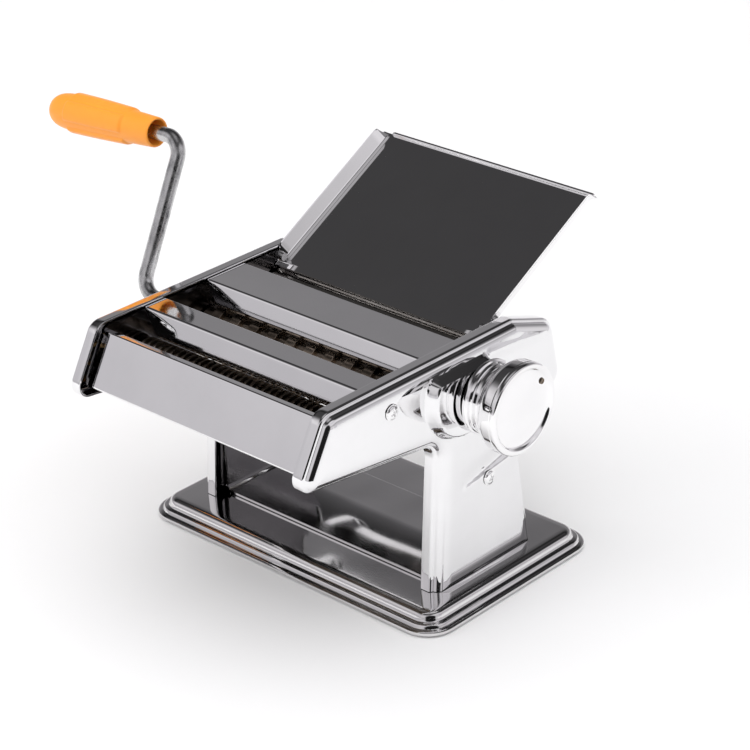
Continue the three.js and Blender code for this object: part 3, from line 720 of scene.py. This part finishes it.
def make_cover(name, node, rear, front, wall, narrow):
    """Top plate, thin fold at the rear, and a front wall that slopes forward to its rolled foot."""
    top = box(node)[1].z
    steps = 14
    slope = [(
        front + (wall[0] - front) * k / steps, top + (wall[1] - top) * k / steps,
    ) for k in range(3, steps)]
    line = [
        (rear, top - 3.4), (rear, top), (front, top),
    ] + slope + [tuple(wall), (wall[0] + 0.9, wall[1] - 1.5)]

    def half(share, point):
        if point.x > front + 0.4 or point.y > top - 0.5:
            return COVER_END
        fall = min(max((top - 0.5 - point.y) / (top - wall[1]), 0), 1.15)
        corner = 0.0 if fall < 0.82 else 3.2 * ((fall - 0.82) / 0.33) ** 2
        return COVER_END - narrow * 0.78 * fall - corner

    strip(
        name, list(reversed(line)), -1.0, half, CHROME, "chassis", (node,),
        radius=[0.7] + [0] * (steps - 3) + [1.9, 0.9],
    )


def make_covers():
    low, high = box("front_apron")
    strip(
        "apron_plate",
        [(-106.5, high.z - 1.2), (-110, high.z - 0.8), (low.y + 0.6, low.z + 1.6), (-121.5, low.z)], 1.0,
        full, CHROME, "chassis", ("front_apron",), radius=[1.1, 1.0],
    )
    make_cover("middle_cover_plate", "middle_cover", -67.8, -82.3, (-86.9, 126.0), 17.0)
    make_cover("rear_cover_plate", "rear_cover", -11.4, -38.7, (-42.9, 127.3), 14.0)
    strip(
        "rear_guard_plate", [(39, 93.2), (49.5, 95.5), (44.5, 122.5), (36, 126)], 1.0, full, CHROME,
        "chassis", ("rear_guard",), radius=[1.6, 1.6],
    )


# ---------- feed tray ----------
TRAY_SLOPE = math.radians(28.7)
TRAY_START = Vector((0, 10.5, 128.4))


def on_tray(x, along, above):
    return (x, TRAY_START.y + along * math.cos(TRAY_SLOPE) - above * math.sin(TRAY_SLOPE),
            TRAY_START.z + along * math.sin(TRAY_SLOPE) + above * math.cos(TRAY_SLOPE))


def make_tray():
    half = box("feed_tray")[1].x
    length, flange, thick, bend = 100.0, 7.5, 1.0, 1.6
    lean = 3.4  # how far the side walls' feet stand in from their top edges
    stations = [0, 1, 2, 3.5, 5, 6.5, 8, 9.5, 11.5, 14, 20, 40, 60, 80, 90, 94, 96, 97.2, 98.2, 99.2, 100]
    verts, rings = [], []
    for s in stations:
        rise = flange * min(smooth(s, 2.0, 9.5), 1 - 0.9 * smooth(s, 95, 99.6))
        share = rise / flange
        wall = [
            (-half, rise), (-half + 0.35, max(rise - 0.5, 0)), (-half + lean, bend * 0.5 * share),
            (-half + lean + bend, 0), (-half + lean + 12, 0),
        ]
        flat = fillet(wall, [0.3, 1.6, 1.6], 5)
        full_line = [Vector(p) for p in flat] + [Vector((-p[0], p[1])) for p in reversed(flat)]
        upper = full_line
        lower = thicken(upper, -thick)
        ring = []
        for p in upper + list(reversed(lower)):
            ring.append(len(verts))
            verts.append(on_tray(max(min(p.x, half), -half), s, p.y))
        rings.append(ring)
    faces = bridge(rings) + sheet_ends(rings)
    piece("tray_plate", verts, faces, CHROME_TRAY, "tray", ("feed_tray",), 40)
    # The rolled lip along the tray's top edge.
    verts, rings = [], []
    for x in (-half + 5.6, -half + 6, -half + 7, half - 3.4, half - 2.4, half - 2):
        r = 1.25 if -half + 6.5 < x < half - 3 else 0.9 if -half + 5.8 < x < half - 2.2 else 0.1
        ring = []
        for k in range(16):
            a = 2 * math.pi * k / 16
            ring.append(len(verts))
            verts.append(on_tray(x, length + 0.15 + r * math.cos(a), 0.25 + r * math.sin(a)))
        rings.append(ring)
    piece(
        "tray_lip", verts, bridge(rings) + [tuple(rings[0]), tuple(rings[-1])], CHROME_TRAY, "tray", (),
    )


# ---------- rollers, cutters, rods ----------
BARREL_HALF = 71.8  # half the length of every roller and cutter barrel


def make_rollers():
    half = BARREL_HALF
    for name in ("smooth_roller_front", "smooth_roller_rear"):
        low, high = box(name)
        middle = (low + high) / 2
        r = (high.z - low.z) / 2
        profile = [
            (low.x, 0), (low.x, 3.6), (low.x + 0.4, 4), (-half, 4), (-half, r - 0.5), (-half + 0.5, r),
            (half - 0.5, r), (half, r - 0.5), (half, 4), (high.x - 0.4, 4), (high.x, 3.6), (high.x, 0),
        ]
        body = "rear_smooth_roller" if "rear" in name else "front_smooth_roller"
        lathe(
            name.replace("smooth_roller", "dough_roller"), profile, middle.y, middle.z, ROLLER, body,
            (name,), 96,
        )
    for kind, pitch, land, groove in (("wide", 13.0, 9.3, 7.4), ("narrow", 4.0, 9.3, 7.4)):
        for where in ("front", "rear"):
            name = f"{kind}_cutter_{where}"
            low, high = box(name)
            middle = (low + high) / 2
            first = where == "rear"
            profile = [(low.x, 0), (low.x, 3.6), (low.x + 0.4, 4), (-half, 4), (-half, groove)]
            count = int((2 * half - 2) // pitch)
            start = -count * pitch / 2
            for k in range(count):
                x0 = start + k * pitch + (0 if first else pitch / 2) + 0.25
                x1 = x0 + pitch / 2 - 0.5
                profile += [
                    (x0, groove), (x0, land - 0.15), (x0 + 0.15, land), (x1 - 0.15, land),
                    (x1, land - 0.15), (x1, groove),
                ]
            profile += [(half, groove), (half, 4), (high.x - 0.4, 4), (high.x, 3.6), (high.x, 0)]
            lathe(
                f"{kind}_noodle_cutter_{where}", profile, middle.y, middle.z, DARK,
                f"{where}_{kind}_cutter", (name,), 64,
            )


def make_rods():
    for name in ("front_tie_rod", "middle_tie_rod", "lower_tie_rod", "tray_rest_rod"):
        low, high = box(name)
        middle = (low + high) / 2
        r = (high.z - low.z) / 2
        shoulder = PLATE_IN - 0.3
        profile = [
            (low.x, 0), (low.x, 1.8), (low.x + 0.2, 2), (-shoulder, 2), (-shoulder, r - 0.3),
            (-shoulder + 0.3, r), (shoulder - 0.3, r), (shoulder, r - 0.3), (shoulder, 2),
            (high.x - 0.2, 2), (high.x, 1.8), (high.x, 0),
        ]
        lathe(name + "_bar", profile, middle.y, middle.z, ZINC, "chassis", (name,), 32)


# ---------- adjuster knob ----------
def make_knob():
    low, high = box("adjuster_knob")
    y, z = (low.y + high.y) / 2, (low.z + high.z) / 2
    back, front, face = low.x + 1.6, high.x, (high.z - low.z) / 2
    ring, waist = face - 4.4, face - 5.5
    profile = [
        (back - 1.6, 6.4), (back - 1.6, 16.1), (back - 1.2, 16.5), (back - 0.1, 16.5), (back, ring - 0.5),
        (back + 0.15, ring - 0.12), (back + 0.5, ring), (back + 1.5, ring), (back + 1.85, ring - 0.12),
        (back + 2.1, ring - 0.5), (back + 2.4, waist + 0.15), (back + 2.9, waist), (back + 4.1, waist),
        (back + 4.4, waist - 0.35), (back + 4.9, waist - 0.5), (back + 5.4, waist - 0.35),
        (back + 5.7, waist), (back + 7.3, waist), (back + 7.6, waist - 0.35), (back + 8.0, waist - 0.45),
        (back + 8.4, waist - 0.2), (back + 9.2, waist + 0.7), (back + 10.4, waist + 2.0),
        (back + 11.8, waist + 3.3), (back + 13.2, face - 1.15), (back + 14.4, face - 0.5),
        (back + 15.4, face - 0.15), (back + 16.4, face), (front - 3.3, face), (front - 3.0, face - 0.25),
        (front - 2.7, face - 0.25), (front - 2.4, face), (front - 1.6, face), (front - 0.9, face - 0.18),
        (front - 0.35, face - 0.6), (front - 0.06, face - 1.2), (front, face - 1.9),
        (front - 0.1, face - 2.6), (front - 0.45, face - 3.1), (front - 0.95, face - 3.5),
        (front - 1.5, face - 4.1), (front - 1.9, face - 5.2), (front - 1.85, face - 6.6),
        (front - 1.6, face - 9), (front - 1.3, face - 14), (front - 1.15, 3), (front - 1.15, 0.01),
        (front - 3.4, 0.01), (front - 3.4, 12), (back + 3, 12), (back + 3, 6.4), (back - 1.6, 6.4),
    ]
    lathe("gap_knob", profile, y, z, CHROME_KNOB, "knob", ("adjuster_knob",), 128, sharp=30)
    # A small raised dark dot near the knob's rim: painted shade standing for a pin hole.
    angle = math.atan2(123.2 - z, 2.9 - y)
    r = face - 6.2
    my, mz = y + r * math.cos(angle), z + r * math.sin(angle)
    dot = [
        (front - 1.6, 1.5), (front - 1.25, 1.5), (front - 1.1, 1.3), (front - 1.15, 1.05),
        (front - 1.5, 0.9), (front - 1.6, 0.01),
    ]
    lathe("knob_pin_hole_painted_shade", dot, my, mz, DARK, "knob", (), 32)


# ---------- crank ----------
def sweep(points, radius, sides):
    """A round bar along a smooth list of points; radius is one number for each point."""
    verts, rings = [], []
    tangent = (points[1] - points[0]).normalized()
    normal = tangent.orthogonal().normalized()
    for i, point in enumerate(points):
        ahead = (points[min(i + 1, len(points) - 1)] - points[max(i - 1, 0)]).normalized()
        normal = (normal - ahead * normal.dot(ahead)).normalized()
        other = ahead.cross(normal)
        ring = []
        for k in range(sides):
            a = 2 * math.pi * k / sides
            ring.append(len(verts))
            verts.append(tuple(point + (normal * math.cos(a) + other * math.sin(a)) * radius[i]))
        rings.append(ring)
    return verts, rings


def make_crank():
    axis = middle_of("wide_cutter_rear")
    tongue_tip = box("crank_rod")[1].x
    lean, tilt = math.radians(25), math.radians(3.4)
    plane, arm, bend = -124.0, 84.0, 11.0
    start = Vector((-81.4, axis.y, axis.z))
    foot = Vector((plane, axis.y, axis.z))
    up = Vector((0, math.sin(lean), math.cos(lean)))
    head = foot + up * arm
    out = Vector((-math.cos(tilt), 0, 0)) - up * math.sin(tilt)
    end = head + out * 86.5

    def arc(corner, before, after):
        half = before.angle(after) / 2
        r = bend * math.tan(half)
        centre = corner + (before + after).normalized() * (r / math.sin(half))
        a = corner + before * bend - centre
        b = corner + after * bend - centre
        whole = a.angle(b)
        curve, steps = [], 14
        for k in range(steps + 1):
            reach = a * math.sin(whole * (1 - k / steps)) + b * math.sin(whole * k / steps)
            curve.append(centre + reach / math.sin(whole))
        return curve

    first = arc(foot, Vector((1, 0, 0)), up)
    second = arc(head, -up, out)
    points = [start, start - Vector((0.5, 0, 0))] + [start.lerp(first[0], k / 5) for k in range(1, 5)] + first
    points += [first[-1].lerp(second[0], k / 12) for k in range(1, 12)] + second
    points += [second[-1].lerp(end, k / 8) for k in range(1, 9)]
    radius = [3.4, 4.0] + [4.0] * (len(points) - 3) + [3.5]
    verts, rings = sweep(points, radius, 28)
    faces = bridge(rings) + [tuple(rings[0]), tuple(rings[-1])]
    begin = len(verts)
    for x in (start.x - 0.5, tongue_tip - 0.5, tongue_tip):
        w, t = (3.4, 1.0) if x < tongue_tip - 0.2 else (2.9, 0.6)
        for u, v in ((-w, -t), (w, -t), (w, t), (-w, t)):
            verts.append((x, axis.y + u, axis.z + v))
    tongue = [[begin + 4 * k + i for i in range(4)] for k in range(3)]
    faces += bridge(tongue) + [tuple(tongue[0]), tuple(tongue[-1])]
    piece("crank_bar", verts, faces, CRANK_ZINC, "crank", ("crank_rod",))

    # Grip: a lathed body with four lengthwise raised panels and an open, hollow end.
    root = head + out * 19
    across = up - out * up.dot(out)
    across.normalize()
    other = out.cross(across)
    tip = 79.5  # the grip's length
    body = [
        (0, 7.6), (0.25, 7.9), (0.8, 8.1), (2, 8.2), (6, 8.35), (12, 8.6), (17, 8.8), (18.5, 8.86),
        (19, 8.88), (19.5, 8.9), (20, 8.92), (20.6, 8.95), (21.4, 8.98), (24, 9.1), (32, 9.4), (42, 9.7),
        (52, 9.9), (58, 9.96), (60.5, 9.98), (61.3, 10), (62, 10), (62.6, 10), (63.2, 10), (64, 10),
        (66, 9.95), (69, 9.7), (71.5, 9.3), (73.5, 8.75), (75.3, 7.95), (76.8, 6.95), (78, 5.7),
        (78.9, 4.1), (79.35, 2.4), (tip, 0.01),
    ]
    bore = [
        (tip - 9, 0.01), (tip - 9, 4.6), (30, 4.6), (9, 4.6), (8, 4.75), (7.4, 5.3), (7, 6.0), (6, 6.3),
        (2, 6.5), (0.8, 6.6), (0.2, 6.85), (0, 7.2), (0, 7.6),
    ]
    sides, verts, rings = 96, [], []
    for along, r in body:
        lift = smooth(along, 18.6, 20.4) * (1 - smooth(along, 61.2, 63.4))
        ring = []
        for k in range(sides):
            a = 2 * math.pi * k / sides
            wave = abs(((a / (math.pi / 2) + 0.5) % 1) - 0.5) * 2
            rib = 1 - smooth(wave, 0.60, 0.74)
            rr = r + 1.15 * lift * rib
            ring.append(len(verts))
            verts.append(tuple(root + out * along + (across * math.cos(a) + other * math.sin(a)) * rr))
        rings.append(ring)
    inner = []
    for along, r in bore:
        ring = []
        for k in range(sides):
            a = 2 * math.pi * k / sides
            ring.append(len(verts))
            verts.append(tuple(root + out * along + (across * math.cos(a) + other * math.sin(a)) * r))
        inner.append(ring)
    piece(
        "grip_sleeve", verts, bridge(rings) + bridge(inner), ORANGE, "grip", ("crank_grip",),
        45,
    )


# ---------- studio ----------
def make_studio():
    floor_material, tree, shader, place = nodes_of("studio_floor")
    tree.links.new(
        ramp(tree, noise(tree, place, 3, 2, 0.5), [(0.3, (0.93,) * 3), (0.7, (0.95,) * 3)]),
        shader.inputs["Base Color"],
    )
    shader.inputs["Roughness"].default_value = 0.9
    mesh = bpy.data.meshes.new("studio_floor")
    size, count = 3.2, 32
    verts, faces = [], []
    for j in range(count + 1):
        for i in range(count + 1):
            verts.append((-size + 2 * size * i / count, -size + 2 * size * j / count, -0.0002))
    for j in range(count):
        for i in range(count):
            a = j * (count + 1) + i
            faces.append((a, a + 1, a + count + 2, a + count + 1))
    mesh.from_pydata(verts, [], faces)
    mesh.materials.append(floor_material)
    floor = bpy.data.objects.new("studio_floor", mesh)
    bpy.context.collection.objects.link(floor)

    def area(name, place, aim, size, power, glossy=True):
        data = bpy.data.lights.new(name, "AREA")
        data.shape = "RECTANGLE"
        data.size, data.size_y = size
        data.energy = power
        lamp = bpy.data.objects.new(name, data)
        bpy.context.collection.objects.link(lamp)
        direction = Vector(aim) - Vector(place)
        facing = direction.to_track_quat("-Z", "Y").to_matrix().to_4x4()
        lamp.matrix_world = Matrix.Translation(Vector(place)) @ facing
        lamp.visible_glossy = glossy

    area("overhead", (0.0, 0.0, 2.8), (0, 0, 0), (6.0, 6.0), 150, False)
    area("front_left", (-1.3, -1.9, 0.9), (0, 0, 0.1), (1.6, 0.9), 12, False)
    area("front_right", (1.7, -1.3, 1.5), (0, 0, 0.1), (1.4, 1.4), 7, False)

    world = bpy.data.worlds.new("studio")
    bpy.context.scene.world = world
    world.use_nodes = True
    tree = world.node_tree
    background = tree.nodes["Background"]
    direction = tree.nodes.new("ShaderNodeTexCoord").outputs["Generated"]
    parts = tree.nodes.new("ShaderNodeSeparateXYZ")
    tree.links.new(direction, parts.inputs["Vector"])

    def bars(value, stops):
        return ramp(tree, value, [(p, (c,)) for p, c in stops])

    def lifted(value):  # -1..1 to 0..1
        node = tree.nodes.new("ShaderNodeMapRange")
        node.inputs["From Min"].default_value = -1
        tree.links.new(value, node.inputs["Value"])
        return node.outputs["Result"]

    def combine(kind, a, b):
        node = tree.nodes.new("ShaderNodeMix")
        node.data_type = "RGBA"
        node.blend_type = kind
        node.inputs["Factor"].default_value = 1
        tree.links.new(a, node.inputs["A"])
        tree.links.new(b, node.inputs["B"])
        return node.outputs["Result"]

    up_down = lifted(parts.outputs["Z"])
    back_front = lifted(parts.outputs["Y"])
    side_side = lifted(parts.outputs["X"])
    # Height bands of the back of the room: bright horizon, grey wall, dark ceiling with a faint strip.
    back = bars(up_down, [
        (0.50, 0.85), (0.54, 0.80), (0.60, 0.62), (0.65, 0.30), (0.70, 0.25), (0.735, 0.27), (0.77, 0.12),
        (0.80, 0.07), (0.83, 0.012), (0.865, 0.055), (0.95, 0.06), (1.0, 0.5),
    ])
    front = bars(up_down, [
        (0.50, 0.85), (0.53, 0.55), (0.58, 0.66), (0.66, 0.74), (0.76, 0.80), (0.84, 0.50), (0.90, 0.05),
        (0.96, 0.06), (1.0, 0.5),
    ])
    is_front = bars(back_front, [(0.0, 1.0), (0.28, 1.0), (0.42, 0.0), (1.0, 0.0)])
    mix = tree.nodes.new("ShaderNodeMix")
    mix.data_type = "RGBA"
    tree.links.new(is_front, mix.inputs["Factor"])
    tree.links.new(back, mix.inputs["A"])
    tree.links.new(front, mix.inputs["B"])
    # A tall bright window on the right, above the back wall's dark foot.
    window = bars(up_down, [(0.60, 0.0), (0.66, 0.85), (0.90, 0.85), (0.95, 0.0)])
    is_right = bars(side_side, [(0.0, 0.0), (0.76, 0.0), (0.82, 1.0), (1.0, 1.0)])
    window = combine("MULTIPLY", window, is_right)
    with_window = combine("LIGHTEN", mix.outputs["Result"], window)
    mottled = ramp(
        tree, noise(tree, direction, 3.2, 3, 0.5), [(0.35, (0.78, 0.76, 0.80)), (0.65, (1.0, 0.975, 1.0))],
    )
    # The dark side of the room, to the right of the window light, where the camera stands.
    toward = tree.nodes.new("ShaderNodeVectorMath")
    toward.operation = "DOT_PRODUCT"
    toward.inputs[1].default_value = Vector((0.81, -0.57, 0.16)).normalized()
    tree.links.new(direction, toward.inputs[0])
    shade = bars(toward.outputs["Value"], [(0.0, 1.0), (0.84, 1.0), (0.90, 0.03), (1.0, 0.02)])
    with_window = combine("MULTIPLY", with_window, shade)
    room = combine("MULTIPLY", with_window, mottled)
    tree.links.new(room, background.inputs["Color"])
    background.inputs["Strength"].default_value = 1.0


set_camera()
make_base()
make_feet()
make_stand()
make_panel("right_cheek", "right_side_panel", 1, [(SPINDLE.y, SPINDLE.z, SPINDLE_HOLE)])
drives = [middle_of(n) for n in ("smooth_roller_rear", "wide_cutter_rear", "narrow_cutter_rear")]
make_panel("left_cheek", "left_side_panel", -1, [(d.y, d.z, SOCKET_HOLE) for d in drives])
for label, d in zip(("smooth", "wide", "narrow"), drives):
    make_eyelet(f"{label}_socket_eyelet", d.y, d.z, PANEL_OUT, -1, SOCKET_HOLE - 0.1, SOCKET_HOLE + 1.7)
for label in ("upper", "lower"):
    make_screw(f"{label}_fixing_right", f"{label}_screw_right", 1)
    make_screw(f"{label}_fixing_left", f"{label}_screw_left", -1)
make_covers()
make_tray()
make_rollers()
make_rods()
make_knob()
make_crank()

# The inner plates get the near-black chrome, which is painted shade.
KEPT = {
    "inner_plate": INNER_PLATE_PAINTED_SHADE, "gear": ZINC, "bush": BRONZE, "scraper": ZINC, "tray_pin": ZINC, "spindle": ZINC,
    "spring": ZINC,
}
for node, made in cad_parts.items():
    for key, finish in KEPT.items():
        if key in node:
            made.data.materials.clear()
            made.data.materials.append(finish)

scene = bpy.context.scene
scene.view_settings.view_transform = "Standard"
make_studio()
